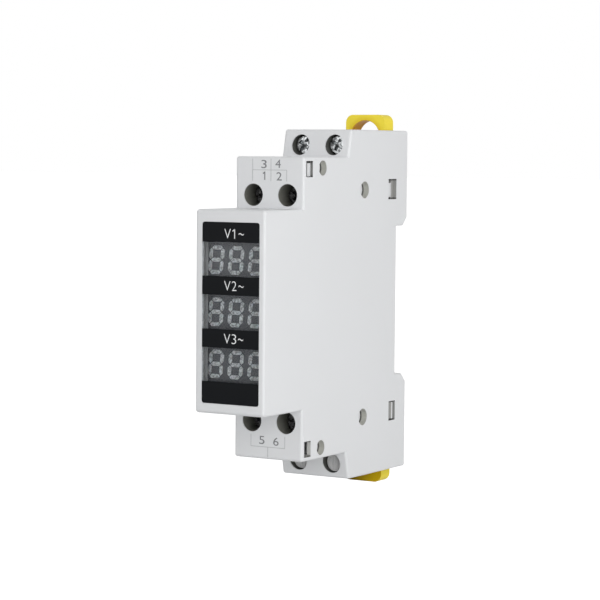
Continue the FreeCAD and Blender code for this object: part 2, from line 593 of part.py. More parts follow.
def makeCover():
    cover = newBody("side_cover")
    grow(cover, "Plate", "YZ_Plane", PARTING, "Size.coverThick", [OUTLINE])
    roundOutline(cover, RIGHT)
    carve(cover, "SnapWindows", "YZ_Plane", f"{PARTING} - Size.runGap", "2 * Size.coverThick", snapWindows())
    carve(cover, "SocketHoles", "YZ_Plane", f"{PARTING} - Size.runGap", "2 * Size.coverThick",
          rings=socketRings(FRONT_SOCKETS, "0") + socketRings(REAR_SOCKETS, "0"))
    return cover


def makeLens():
    lens = newBody("display_window")
    pane = window(f"{WINDOW_LEFT} + Size.lensGap", f"{WINDOW_RIGHT} - Size.lensGap",
                  f"{WINDOW_BOTTOM} + Size.lensGap", f"{WINDOW_TOP} - Size.lensGap")
    grow(lens, "Pane", "XZ_Plane", "-Size.noseReach + Size.runGap", "Size.lensThick", [pane])
    thick = measure("Size.lensThick")
    rounded(lens, "Corners", "Size.windowCorner",
            lambda edge: abs(edge.Length - thick) < 1e-3 and edge.BoundBox.YLength > thick / 2)
    return lens


def segmentLines():
    """Middle lines of the seven segments of an upright digit, as end points (x, z)."""
    side = (size("digitWidth") - size("segmentWidth")) / 2
    top = (size("digitHeight") - size("segmentWidth")) / 2
    corners = {"nw": (-side, top), "ne": (side, top), "w": (-side, 0), "e": (side, 0),
               "sw": (-side, -top), "se": (side, -top)}
    ends = {"a": "nw ne", "b": "ne e", "c": "e se", "d": "sw se", "e": "w sw", "f": "nw w", "g": "w e"}
    return [[corners[name] for name in ends[segment].split()] for segment in DIGIT_SEGMENTS]


def segmentOutline(start, stop):
    """A bar with pointed ends between two points, as a list of (x, z)."""
    half = size("segmentWidth") / 2
    along = Vector(stop[0] - start[0], stop[1] - start[1], 0).normalize()
    side = Vector(-along.y, along.x, 0) * half
    low = Vector(start[0], start[1], 0) + along * size("segmentGap")
    high = Vector(stop[0], stop[1], 0) - along * size("segmentGap")
    return [low, low + along * half + side, high - along * half + side,
            high, high - along * half - side, low + along * half - side]


def makeSegments(label, lift):
    face = size("displaySink") - size("noseReach")
    middle = measure(BAY_MIDDLE)
    bars = []
    for digit in (-1, 0, 1):
        for start, stop in segmentLines():
            outline = [Vector(point.x + point.y * size("digitSlant") + digit * measure(DIGIT_SPACING) + middle,
                              face - size("segmentRise"), point.y + lift)
                       for point in segmentOutline(start, stop)]
            bar = Part.Face(Part.makePolygon(outline + outline[:1]))
            bars.append(bar.extrude(Vector(0, size("segmentRise"), 0)))
    segments = doc.addObject("Part::Feature", label)
    segments.Shape = Part.makeCompound(bars)
    return segments


def makeDisplays():
    pieces = []
    for name, step in (("top", 1), ("middle", 0), ("bottom", -1)):
        lift = f"{step} * Size.displaySpacing - Size.displayDrop"
        case = newBody(f"display_{name}")
        face = centred(BAY_MIDDLE, DISPLAY_WIDTH, lift, "Size.displayHeight")
        grow(case, "Case", "XZ_Plane", "Size.displaySink - Size.noseReach", "Size.displayDepth", [face])
        rounded(case, "CaseEdges", "Size.segmentWidth / 3",
                lambda edge: edge.BoundBox.YLength > size("displayDepth") / 2)
        pieces += [case, makeSegments(f"segments_{name}", measure(lift))]
    return pieces


def makeBoards():
    front = newBody("display_board")
    plate = centred("0", DISPLAY_BOARD_WIDTH, "0", DISPLAY_BOARD_HEIGHT)
    grow(front, "Plate", "XZ_Plane", DISPLAY_BOARD_FRONT, "Size.displayBoardThick", [plate])
    main = newBody("main_board")
    plate = window(MAIN_BOARD_FRONT, "-Size.mainBoardRear", minus(HALF_MAIN_BOARD), HALF_MAIN_BOARD)
    grow(main, "Plate", "YZ_Plane", "-Size.mainBoardThick / 2", "Size.mainBoardThick", [plate])
    carve(main, "PipHoles", "YZ_Plane", "-Size.mainBoardThick", "2 * Size.mainBoardThick",
          squares(boardPostPlaces(), "2 * (Size.pipRadius + Size.pipGap)"))
    return [front, main]


def makeHeader():
    """Right-angle strip on the main board whose pins reach the back of the display board."""
    header = newBody("board_header")
    strip = window("Size.mainBoardThick / 2", "Size.mainBoardThick / 2 + Size.headerRise",
                   f"-{HEADER_PINS} * Size.pinPitch / 2", f"{HEADER_PINS} * Size.pinPitch / 2")
    grow(header, "Strip", "XZ_Plane", MAIN_BOARD_FRONT, "Size.headerRise", [strip])
    firstPin = centred("(Size.mainBoardThick + Size.headerRise) / 2", "Size.pinWidth",
                       f"(1 - {HEADER_PINS}) * Size.pinPitch / 2", "Size.pinWidth")
    pins = grow(header, "Pin", "XZ_Plane", DISPLAY_BOARD_BACK, "Size.boardsGap", [firstPin])
    row = header.newObject("PartDesign::LinearPattern", "PinRow")
    row.Originals = [pins]
    row.Direction = (pins.Profile[0], ["V_Axis"])
    row.setExpression("Length", f"({HEADER_PINS} - 1) * Size.pinPitch")
    row.Occurrences = HEADER_PINS
    header.Tip = row
    return header


def makeTerminal(number, tier, side, end, turn):
    place = terminalPlace(tier, side, end)
    pieces = [makeScrew(number, turn * end, tier[2]), makeCage(number), makeBar(number, tier, side, end)]
    for piece in pieces:
        setPlace(piece, place, end)
    return pieces


def terminalPlace(tier, side, end):
    lift, reach, bore = tier
    return f"{side} * {SCREW_SPACING} / 2 + Size.terminalShift", minus(reach), f"{end} * {lift}"


def setPlace(body, place, end):
    """Moves a piece from its own origin to its terminal, turned upside down at the lower end."""
    body.Placement = Placement(Vector(0, 0, 0), Rotation(Vector(0, 1, 0), 0 if end > 0 else 180))
    for axis, distance in zip("xyz", place):
        body.setExpression(f".Placement.Base.{axis}", distance)


def makeScrew(number, turn, bore):
    screw = newBody(f"terminal_screw_{number}")
    shankEnd = f"({BAR_FRONT} - Size.tipGap)"
    headRadius = f"({bore} / 2 - Size.headPlay)"
    profile = draw(screw, "Profile", "XY_Plane", "0", [[
        ("0", "0"), (f"{headRadius} - Size.headChamfer", "0"),
        (headRadius, "Size.headChamfer"), (headRadius, "Size.headThick"),
        ("Size.shankRadius", "Size.headThick"), ("Size.shankRadius", shankEnd), ("0", shankEnd)]], ())
    turned = screw.newObject("PartDesign::Revolution", "Turned")
    turned.Profile = profile
    turned.ReferenceAxis = (profile, ["V_Axis"])
    turned.Angle = 360
    doc.recompute()
    slot = carve(screw, "Slot", "XZ_Plane", "0", "Size.slotDepth",
                 [centred("0", f"4 * {headRadius}", "0", "Size.slotWidth")])
    upright = carve(screw, "CrossUpright", "XZ_Plane", "0", "Size.crossDepth",
                    [centred("0", "Size.crossWidth", "0", "Size.crossSpan")])
    level = carve(screw, "CrossLevel", "XZ_Plane", "0", "Size.crossDepth",
                  [centred("0", "Size.crossSpan", "0", "Size.crossWidth")])
    for cut in (slot, upright, level):
        cut.Profile[0].AttachmentOffset = Placement(Vector(0, 0, 0), Rotation(Vector(0, 0, 1), turn))
    return screw


def makeCage(number):
    cage = newBody(f"terminal_cage_{number}")
    inside = "(Size.barWidth + 2 * Size.barSideGap)"
    outer = window(f"-{inside} / 2 - Size.cageSideWall", f"{inside} / 2 + Size.cageSideWall",
                   CAGE_FRONT, f"{WIRE_END} + Size.cageBottomWall")
    opening = window(f"-{inside} / 2", f"{inside} / 2", CAGE_INSIDE, WIRE_END)
    grow(cage, "Loop", "XY_Plane", "-Size.cageShift - Size.cageLength / 2", "Size.cageLength",
         [outer, opening])
    carve(cage, "ThreadBore", "XZ_Plane", f"{CAGE_FRONT} - Size.runGap", "Size.cageTopWall + 2 * Size.runGap",
          rings=[("0", "0", "Size.shankRadius + Size.shankGap")])
    return cage


def makeBar(number, tier, side, end):
    """Flat contact bar from its cage to the main board, with a solder tail at its inner end."""
    bar = newBody(f"contact_bar_{number}")
    towards = side * end
    outer = "Size.cageLength / 2 - Size.cageShift - Size.barOverhang"
    inner = f"({WEB_START} - Size.barReach - {tier[0]})"
    board = f"{-towards} * ({SCREW_SPACING} - Size.mainBoardThick) / 2 - {end} * Size.terminalShift"
    outline = [
        (f"{towards} * Size.barWidth / 2", outer), (f"{towards} * Size.barWidth / 2", inner),
        (board, inner), (board, f"{inner} + Size.barTailWidth"),
        (f"{-towards} * Size.barWidth / 2", f"{inner} + Size.barTailWidth"),
        (f"{-towards} * Size.barWidth / 2", outer)]
    grow(bar, "Strip", "XZ_Plane", BAR_FRONT, "Size.barThick", [outline])
    return bar


def makePlug(number, tier, side, end):
    plug = newBody(f"blanking_plug_{number}")
    grow(plug, "Disc", "XZ_Plane", f"{LEDGE_FRONT} - Size.plugThick", "Size.plugThick",
         rings=[("0", "0", f"{tier[2]} / 2 - Size.plugPlay")])
    grow(plug, "Stem", "XZ_Plane", LEDGE_FRONT, "Size.plugStem", rings=[("0", "0", "Size.shankRadius")])
    setPlace(plug, terminalPlace(tier, side, end), end)
    return plug


def makeClip(label, end):
    clip = newBody(label)
    armInner = f"{HALF_CLIP} - Size.armThick"
    armRoot = f"{CLIP_END} - Size.armRoot"
    armEnd = f"{HALF_SLOT} + Size.armGap"
    right = [
        (HALF_CLIP, HOOK_END), (HALF_CLIP, f"{HOOK_END} + Size.hookLength"),
        ("Size.stemWidth / 2", f"{HOOK_END} + Size.hookLength"), ("Size.stemWidth / 2", armRoot),
        (armInner, armRoot), (armInner, armEnd), (HALF_CLIP, armEnd), (HALF_CLIP, CLIP_END)]
    left = [(minus(across), up) for across, up in right[::-1]]
    grow(clip, "Plan", "XZ_Plane", HOOK_FRONT, f"Size.clipRear - {HOOK_FRONT}", [right + left])
    front = window(minus(HALF_CLIP), HALF_CLIP, LOOP_START, CLIP_END)
    grow(clip, "LoopFront", "XZ_Plane", "0", HOOK_FRONT, [front])
    half, tip = measure(HALF_CLIP), measure(CLIP_END)
    rounded(clip, "LoopCorners", "Size.clipCorner",
            lambda edge: abs(abs(edge.CenterOfMass.x) - half) < 1e-3 and abs(edge.CenterOfMass.z - tip) < 1e-3)
    carve(clip, "Eye", "XZ_Plane", "-Size.clipGap", "Size.clipRear + 2 * Size.clipGap",
          rings=[("0", f"{CLIP_END} - Size.eyeInset", "Size.eyeRadius")])
    play = "(Size.stopRadius + Size.stopGap)"
    guide = window(minus(play), play, f"{STOP_LIFT} - {play} - Size.clipTravel", f"{STOP_LIFT} + {play}")
    carve(clip, "StopSlot", "XZ_Plane", "0", "Size.clipRear + Size.clipGap", [guide])
    slope = [("Size.clipRear + Size.clipGap", f"{HOOK_END} - Size.clipGap"),
             ("Size.clipRear + Size.clipGap", f"{HOOK_END} + Size.hookLeadIn + Size.clipGap"),
             ("Size.clipRear - Size.hookLeadIn - Size.clipGap", f"{HOOK_END} - Size.clipGap")]
    carve(clip, "HookSlope", "YZ_Plane", f"-{HALF_CLIP} - Size.clipGap", "Size.clipWidth + 2 * Size.clipGap",
          [slope])
    clip.Placement = Placement(Vector(0, 0, 0), Rotation(Vector(0, 1, 0), 0 if end > 0 else 180))
    return clip


def makeFilmCapacitor():
    film = newBody("film_capacitor")
    foot = centred("-Size.filmReach", "Size.filmLength", "-Size.filmDrop", "Size.filmHeight")
    grow(film, "Case", "YZ_Plane", "Size.mainBoardThick / 2", "Size.filmRise", [foot])
    rise = size("filmRise")
    rounded(film, "CaseEdges", "Size.edgeRadius", lambda edge: abs(edge.Length - rise) < 1e-3)
    return film


def makeFilterCapacitor():
    """Aluminium can that stands on the board, with the crimp groove near its foot."""
    can = newBody("filter_capacitor")
    foot = "Size.mainBoardThick / 2"
    top = f"({PARTING} - Size.canGap)"
    groove = "Size.canRadius - Size.canGroove"
    profile = draw(can, "Profile", "XY_Plane", "0", [[
        (foot, "0"), (foot, "Size.canRadius"),
        (f"{foot} + 3 * Size.canGroove", "Size.canRadius"), (f"{foot} + 4 * Size.canGroove", groove),
        (f"{foot} + 5 * Size.canGroove", "Size.canRadius"),
        (f"{top} - Size.canGroove", "Size.canRadius"), (top, groove), (top, "0")]], ())
    turned = can.newObject("PartDesign::Revolution", "Turned")
    turned.Profile = profile
    turned.ReferenceAxis = (profile, ["H_Axis"])
    turned.Angle = 360
    can.setExpression(".Placement.Base.y", "-Size.canReach")
    can.setExpression(".Placement.Base.z", "Size.canLift")
    return can


def makeBridge():
    bridge = newBody("bridge_rectifier")
    foot = centred("-Size.bridgeReach", "Size.bridgeLength", "Size.bridgeLift", "Size.bridgeHeight")
    grow(bridge, "Case", "YZ_Plane", "Size.mainBoardThick / 2", "Size.bridgeRise", [foot])
    legs = [centred(f"{side} * Size.chipPitch - Size.bridgeReach", "2 * Size.legWidth", "Size.bridgeLift",
                    "Size.bridgeHeight + 2 * Size.legReach") for side in (-1, 1)]
    grow(bridge, "Legs", "YZ_Plane", "Size.mainBoardThick / 2", "Size.legRise", legs)
    return bridge


def makeChip():
    chip = newBody("control_chip")
    back = "-Size.mainBoardThick / 2"
    grow(chip, "Case", "YZ_Plane", f"{back} - Size.chipRise", "Size.chipRise",
         [centred("-Size.chipReach", "Size.chipLength", "0", "Size.chipHeight")])
    leg = centred(f"(1 - {LEGS_PER_SIDE}) * Size.chipPitch / 2 - Size.chipReach", "Size.legWidth",
                  "0", "Size.chipHeight + 2 * Size.legReach")
    legs = grow(chip, "Leg", "YZ_Plane", f"{back} - Size.legRise", "Size.legRise", [leg])
    row = chip.newObject("PartDesign::LinearPattern", "LegRow")
    row.Originals = [legs]
    row.Direction = (legs.Profile[0], ["H_Axis"])
    row.setExpression("Length", f"({LEGS_PER_SIDE} - 1) * Size.chipPitch")
    row.Occurrences = LEGS_PER_SIDE
    chip.Tip = row
    return chip


def makeResistors():
    """Three input resistors side by side, each on two bent leads."""
    radius, length = size("resistorRadius"), size("resistorLength")
    foot = size("mainBoardThick") / 2
    reach = length / 2 + size("leadReach")
    pieces = []
    for step in (-1, 0, 1):
        along = step * size("resistorSpacing") - size("resistorReach")
        centre = Vector(foot + radius, along, -size("resistorDrop"))
        barrel = Part.makeCylinder(radius, length, centre - Vector(0, 0, length / 2), Vector(0, 0, 1))
        wide = size("leadWidth")
        corner = centre - Vector(wide / 2, wide / 2, reach)
        solid = barrel.fuse(Part.makeBox(wide, wide, 2 * reach, corner))
        for shift in (0, 2 * reach - wide):
            leg = Part.makeBox(radius + wide / 2, wide, wide, corner + Vector(wide / 2 - radius, 0, shift))
            solid = solid.fuse(leg)
        pieces.append(solid)
    resistors = doc.addObject("Part::Feature", "input_resistors")
    resistors.Shape = Part.makeCompound(pieces)
    return resistors


def finish(pieces):
    doc.recompute()
    broken = [item.Name for item in doc.Objects if "Invalid" in item.State or "Error" in item.State]
    if broken:
        raise RuntimeError(f"failed objects: {broken}")
    os.makedirs("parts", exist_ok=True)
    for piece in pieces:
        if piece.Shape.isNull() or not piece.Shape.isValid():
            raise RuntimeError(f"{piece.Label} has no valid shape")
    for piece in pieces:
        piece.Shape.exportStep(f"parts/{piece.Label}.step")
        print(piece.Label, len(piece.Shape.Solids), round(piece.Shape.Volume, 2))


nodes = [makeShell(), makeCover(), makeLens()]
nodes += makeDisplays()
nodes += makeBoards()
nodes.append(makeHeader())
for terminal in TERMINALS:
    nodes += makeTerminal(*terminal)
nodes += [makePlug(*blank) for blank in BLANKS]
nodes += [makeClip("rail_clip_top", 1), makeClip("rail_clip_bottom", -1)]
nodes += [makeFilmCapacitor(), makeFilterCapacitor(), makeBridge(), makeChip(), makeResistors()]
finish(nodes)
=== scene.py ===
import math
import bmesh
import bpy
from mathutils import Matrix, Vector


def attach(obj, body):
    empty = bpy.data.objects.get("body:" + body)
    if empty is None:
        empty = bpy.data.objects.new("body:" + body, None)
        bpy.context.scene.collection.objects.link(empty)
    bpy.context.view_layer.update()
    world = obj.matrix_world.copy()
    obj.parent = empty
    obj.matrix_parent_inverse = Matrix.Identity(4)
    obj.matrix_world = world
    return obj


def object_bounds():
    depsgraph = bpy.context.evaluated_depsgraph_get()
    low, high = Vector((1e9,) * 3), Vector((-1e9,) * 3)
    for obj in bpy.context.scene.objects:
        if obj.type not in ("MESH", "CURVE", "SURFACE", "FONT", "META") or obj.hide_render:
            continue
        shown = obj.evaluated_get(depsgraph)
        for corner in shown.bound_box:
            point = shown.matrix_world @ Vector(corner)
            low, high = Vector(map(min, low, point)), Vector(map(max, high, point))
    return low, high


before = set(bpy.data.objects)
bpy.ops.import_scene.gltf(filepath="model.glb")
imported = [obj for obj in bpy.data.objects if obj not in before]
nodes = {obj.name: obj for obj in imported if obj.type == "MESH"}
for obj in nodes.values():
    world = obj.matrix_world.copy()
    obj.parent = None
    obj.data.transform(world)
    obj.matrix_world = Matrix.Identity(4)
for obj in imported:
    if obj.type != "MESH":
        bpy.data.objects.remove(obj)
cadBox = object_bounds()
mm = 0.001  # sizes are in millimetres: x to the right, y from the front to the rail, z up
print("frame loaded:", len(nodes), "nodes")

# camera
cameraView = {
    "place": (263.6, -462.7, 35.1),
    "turn": 31.281,  # degrees to the meter's right
    "dip": 3.705,  # degrees below level
    "roll": 0.445,
    "lens": 132.77,
    "sensor": 36,
    "shift": (-0.0023, -0.0074),
    "clip": (0.01, 50),  # metres
}


def makeCamera(view):
    eye = bpy.data.cameras.new("camera")
    eye.lens = view["lens"]
    eye.sensor_width = view["sensor"]
    eye.shift_x, eye.shift_y = view["shift"]
    eye.clip_start, eye.clip_end = view["clip"]
    camera = bpy.data.objects.new("camera", eye)
    bpy.context.scene.collection.objects.link(camera)
    turn = Matrix.Rotation(math.radians(view["turn"]), 4, "Z")
    tilt = Matrix.Rotation(math.radians(90 - view["dip"]), 4, "X")
    roll = Matrix.Rotation(math.radians(view["roll"]), 4, "Z")
    camera.matrix_world = Matrix.Translation(Vector(view["place"]) * mm) @ turn @ tilt @ roll
    bpy.context.scene.camera = camera


makeCamera(cameraView)
print("camera set")


# shader maths: a strand is one output socket, and sums of strands add their own Math nodes
class Strand:
    def __init__(self, finish, socket):
        self.finish = finish
        self.socket = socket

    def join(self, operation, first, second):
        return self.finish.node("ShaderNodeMath", {"operation": operation}, {0: first, 1: second})

    def __add__(self, other):
        return self.join("ADD", self, other)

    def __radd__(self, other):
        return self.join("ADD", other, self)

    def __sub__(self, other):
        return self.join("SUBTRACT", self, other)

    def __rsub__(self, other):
        return self.join("SUBTRACT", other, self)

    def __mul__(self, other):
        return self.join("MULTIPLY", self, other)

    def __rmul__(self, other):
        return self.join("MULTIPLY", other, self)

    def __pow__(self, other):
        return self.join("POWER", self, other)

    def __lt__(self, other):
        return self.join("LESS_THAN", self, other)

    def __gt__(self, other):
        return self.join("GREATER_THAN", self, other)

    def __abs__(self):
        return self.join("ABSOLUTE", self, 0)


class Finish:
    def __init__(self, name, **sockets):
        self.material = bpy.data.materials.new(name)
        self.material.use_nodes = True
        self.tree = self.material.node_tree
        self.shader = self.tree.nodes["Principled BSDF"]
        self.place = self.node("ShaderNodeTexCoord", {}, {}, "Object")
        self.put(**sockets)

    def node(self, kind, settings, sockets, output=0):
        made = self.tree.nodes.new(kind)
        for setting, value in settings.items():
            setattr(made, setting, value)
        for key, value in sockets.items():
            self.feed(made.inputs[key], value)
        return Strand(self, made.outputs[output])

    def feed(self, socket, value):
        if isinstance(value, Strand):
            self.tree.links.new(value.socket, socket)
        elif isinstance(value, tuple) and len(value) == 3 and socket.type == "RGBA":
            socket.default_value = (*value, 1)
        else:
            socket.default_value = value

    def put(self, **sockets):
        for name, value in sockets.items():
            self.feed(self.shader.inputs[name.replace("_", " ")], value)

    # place on the meter as three strands, in millimetres
    def axes(self):
        split = [self.node("ShaderNodeSeparateXYZ", {}, {0: self.place}, axis) for axis in range(3)]
        return [strand * (1 / mm) for strand in split]

    # noise from 0 to 1, with lumps about the given number of millimetres across
    def speckle(self, across, detail=2.0, stretch=(1, 1, 1)):
        lumps = self.node("ShaderNodeMapping", {"vector_type": "POINT"},
                          {"Vector": self.place, "Scale": stretch})
        return self.node("ShaderNodeTexNoise", {},
                         {"Vector": lumps, "Scale": 1 / (across * mm), "Detail": detail})

    def blend(self, share, first, second):
        return self.node("ShaderNodeMix", {"data_type": "RGBA"}, {0: share, 6: first, 7: second}, 2)

    # rises from 0 to 1 as value goes from start to end
    def ramp(self, value, start, end):
        return self.node("ShaderNodeMapRange", {"interpolation_type": "SMOOTHSTEP"},
                         {"Value": value, "From Min": start, "From Max": end})

    # roughness that swings about its middle value with a noise
    def roughen(self, middle, swing, noise):
        self.put(Roughness=middle + swing * (noise - 0.5))

    def bump(self, height, depth):
        self.put(Normal=self.node("ShaderNodeBump", {}, {"Height": height, "Distance": depth * mm}))


def shaded(colour, share):
    return tuple(channel * share for channel in colour)


def dress(finish, *names):
    for name in names:
        for slot in nodes[name].material_slots:
            slot.material = finish.material


# studio
studio = {
    "world": 0.47,  # brightness of the surround, as a white of 1 would give
    "floorBelow": 3.3,  # leaves room for the lower clip when it is pulled out
    "floorReach": 6000,
    "floorGlow": 0.80,  # brings the pale floor up to the white of the background
    "floorColour": (0.72, 0.72, 0.72),
    "floorRoughness": 0.9,
    "floorShine": 0.1,
    "lamps": {  # place, size in mm, power in watts
        "sideLamp": ((330, -225, 80), 260, 0.82),
        "frontLamp": ((-420, -900, 180), 600, 1.1),
        "topLamp": ((60, -80, 950), 700, 0.2),
    },
}


# plain white for the camera and for reflections, a softer level for the light on the object
def makeWorld(settings):
    world = bpy.data.worlds.new("surround")
    bpy.context.scene.world = world
    world.use_nodes = True
    tree = world.node_tree
    path = tree.nodes.new("ShaderNodeLightPath")
    seen = path.outputs["Is Camera Ray"]
    for ray in ("Is Glossy Ray", "Is Transmission Ray"):
        either = tree.nodes.new("ShaderNodeMath")
        either.operation = "MAXIMUM"
        tree.links.new(seen, either.inputs[0])
        tree.links.new(path.outputs[ray], either.inputs[1])
        seen = either.outputs[0]
    level = tree.nodes.new("ShaderNodeMapRange")
    level.inputs["To Min"].default_value = settings["world"]
    level.inputs["To Max"].default_value = 1
    tree.links.new(seen, level.inputs["Value"])
    sky = tree.nodes["Background"]
    sky.inputs["Color"].default_value = (1, 1, 1, 1)
    tree.links.new(level.outputs[0], sky.inputs["Strength"])


def makeFloor(settings):
    shape = bmesh.new()
    bmesh.ops.create_grid(shape, x_segments=1, y_segments=1, size=settings["floorReach"] * mm)
    low = cadBox[0].z - settings["floorBelow"] * mm
    bmesh.ops.translate(shape, verts=shape.verts, vec=(0, 0, low))
    mesh = bpy.data.meshes.new("floor")
    shape.to_mesh(mesh)
    shape.free()
    floor = bpy.data.objects.new("floor", mesh)
    bpy.context.scene.collection.objects.link(floor)
    paint = Finish("floorPaint", Base_Color=settings["floorColour"], Roughness=settings["floorRoughness"],
                   Specular_IOR_Level=settings["floorShine"], Emission_Strength=settings["floorGlow"])
    camera, glossy, through = [paint.node("ShaderNodeLightPath", {}, {}, ray)
                               for ray in ("Is Camera Ray", "Is Glossy Ray", "Is Transmission Ray")]
    paint.put(Emission_Color=paint.blend(camera + glossy + through > 0.5, (0, 0, 0), (1, 1, 1)))
    mesh.materials.append(paint.material)


def makeLamp(name, place, size, power):
    light = bpy.data.lights.new(name, "AREA")
    light.energy = power
    light.size = size * mm
    lamp = bpy.data.objects.new(name, light)
    bpy.context.scene.collection.objects.link(lamp)
    lamp.visible_camera = False
    lamp.location = Vector(place) * mm
    lamp.rotation_euler = (-lamp.location).to_track_quat("-Z", "Y").to_euler()


makeWorld(studio)
makeFloor(studio)
for lampName, (lampPlace, lampSize, lampPower) in studio["lamps"].items():
    makeLamp(lampName, lampPlace, lampSize, lampPower)
bpy.context.scene.view_settings.view_transform = "Standard"
print("studio lit")

# housing: matt spark-textured moulding, with painted shade in its wells, in the recesses and sockets of the
# side cover, and on the walls behind the lens
housingLook = {
    "colour": (0.775, 0.785, 0.80),
    "patch": (0.745, 0.755, 0.765),
    "patchAcross": 26,
    "roughness": 0.46,
    "swing": 0.07,
    "grain": 0.12,
    "grainDepth": 0.008,
    "pair": (9.0, 0.2),  # spacing of a pair of wells, and how far the pair stands to the right
    "wellRadius": 2.75,
    "wellShadeDepths": (0.14, 0.35, 9.0),  # depths under the tier at which the painted shade starts, is full and ends
    "wells": (  # height from the middle, depth and slope of the tier's face, colour of the painted shade
        (25.5, -42.9, 0, (0.16, 0.16, 0.14)),
        (36.85, -22.6, 0.206, (0.075, 0.078, 0.07))),
    "recess": (5.9, 8.96),  # floor and mouth of the recesses in the side cover
    "recessEndShade": (0.4, 0.4),  # painted shade, darker still, in a band at both ends of a window: height, share of the wall's shade
    "recessBlue": (0.97, 0.95),  # share of blue left in the painted shade of the wall, and of its ends
    "tabFilm": 0.03,  # how near to its level the face of a tab keeps the housing's colour
    "windows": (  # depth from and to, height from and to, level of the tab and the depth beyond which its face takes the painted shade, painted shade of the walls
        (-41.98, -39.1, 29.56, 33.2, 8.4, 0, 0.20),
        (-41.98, -39.1, -33.2, -29.56, 7.4, 0, 0.64),
        (-4.32, -0.42, 24.13, 28.97, 8.0, -1.25, 0.36),
        (-3.25, -0.15, -28.67, -23.99, 8.7, 0, 0.30)),
    # painted shade on the walls of the blind sockets
    "socketShade": (0.50, 0.50, 0.46),
    "socketFootShade": (7.22, 7.4, 7.8, (0.05, 0.05, 0.045)),  # painted shade, darker in the corner at the foot of the wall: levels, colour
    "sockets": ((-34.75, 31.6, 1.72), (-15.65, 26.5, 1.97)),  # place along the depth, height, radius
    "seatShade": (0.36, 0.36, 0.36),  # painted shade on the walls behind the lens
    "seat": (-58.4, -50, 21, 7.6),  # depth from and to, reach up and down, reach across
}


def makeHousingFinish(look):
    finish = Finish("housingPlastic")
    x, y, z = finish.axes()
    grain = finish.speckle(look["grain"], 3)
    colour = finish.blend(finish.speckle(look["patchAcross"], 1), look["colour"], look["patch"])

    # painted shade in the screw wells
    spacing, shift = look["pair"]
    across = abs(x - shift) - spacing / 2
    start, full, end = look["wellShadeDepths"]
    for height, face, slope, wellShadeColour in look["wells"]:
        up = abs(z) - height
        deep = y - face - up * slope
        well = (across * across + up * up) ** 0.5 < look["wellRadius"]
        colour = finish.blend(well * finish.ramp(deep, start, full) * (deep < end), colour, wellShadeColour)

    # painted shade on the walls of the snap windows, beside the faces of their tabs, and on a tab's face
    # beyond its end
    floor, mouth = look["recess"]
    sunk = (x > floor) * (x < mouth)
    band, share = look["recessEndShade"]
    wallBlue, endBlue = look["recessBlue"]
    for lowY, highY, lowZ, highZ, tab, tabEnd, shade in look["windows"]:
        beside = (abs(x - tab) > look["tabFilm"]) + (y > tabEnd) > 0.5
        inside = sunk * (y > lowY) * (y < highY) * (z > lowZ) * (z < highZ) * beside
        ends = abs(z - (lowZ + highZ) / 2) > (highZ - lowZ) / 2 - band
        dark = shade * share
        wall = finish.blend(ends, (shade, shade, shade * wallBlue), (dark, dark, dark * endBlue))
        colour = finish.blend(inside, colour, wall)

    # painted shade on the walls of the blind sockets, darkest at their foot
    foot, low, high, footShade = look["socketFootShade"]
    wall = finish.blend(finish.ramp(x, low, high), footShade, look["socketShade"])
    for along, height, radius in look["sockets"]:
        off, up = y - along, abs(z) - height
        inside = sunk * ((off * off + up * up) ** 0.5 < radius) * (x > foot)
        colour = finish.blend(inside, colour, wall)

    # painted shade on the walls behind the lens
    start, end, reachUp, reachAcross = look["seat"]
    behind = (y > start) * (y < end) * (abs(z) < reachUp) * (abs(x - shift) < reachAcross)
    finish.put(Base_Color=finish.blend(behind, colour, look["seatShade"]))
    finish.roughen(look["roughness"], look["swing"], grain)
    finish.bump(grain, look["grainDepth"])
    return finish


dress(makeHousingFinish(housingLook), "housing_shell", "side_cover")
print("housing finished")

# prints: thin plates that face the front
signLook = {
    "flagReach": 0.26,  # upper stroke of a figure one, as shares of its height
    "flagFoot": 0.76,
    "inkGrain": 0.3,
    "inkFade": 0.9,
    "inkSwing": 0.08,
}


def makeInk(name, colour, roughness, shine=0.5):
    finish = Finish(name, Specular_IOR_Level=shine)
    grain = finish.speckle(signLook["inkGrain"])
    finish.put(Base_Color=finish.blend(grain, colour, shaded(colour, signLook["inkFade"])))
    finish.roughen(roughness, signLook["inkSwing"], grain)
    return finish


def makePiece(name, shape, finish, body="housing"):
    mesh = bpy.data.meshes.new(name)
    shape.to_mesh(mesh)
    shape.free()
    piece = bpy.data.objects.new(name, mesh)
    bpy.context.scene.collection.objects.link(piece)
    mesh.materials.append(finish.material)
    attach(piece, body)


# thin straight bar between two points of (across, up)
def addStroke(shape, start, end, width, front, back):
    made = bmesh.ops.create_cube(shape, size=1)["verts"]
    run, rise = end[0] - start[0], end[1] - start[1]
    middle = Vector(((start[0] + end[0]) / 2, (front + back) / 2, (start[1] + end[1]) / 2)) * mm
    bmesh.ops.scale(shape, verts=made, vec=Vector((math.hypot(run, rise), back - front, width)) * mm)
    bmesh.ops.rotate(shape, verts=made, matrix=Matrix.Rotation(-math.atan2(rise, run), 3, "Y"))
    bmesh.ops.translate(shape, verts=made, vec=middle)


# figure one, whose stem ends at the given right edge
def addOne(shape, right, low, height, width, front, back):
    stem = right - width / 2
    flag = (stem - height * signLook["flagReach"], low + height * signLook["flagFoot"])
    addStroke(shape, (stem, low), (stem, low + height), width, front, back)
    addStroke(shape, flag, (stem, low + height - width / 2), width, front, back)


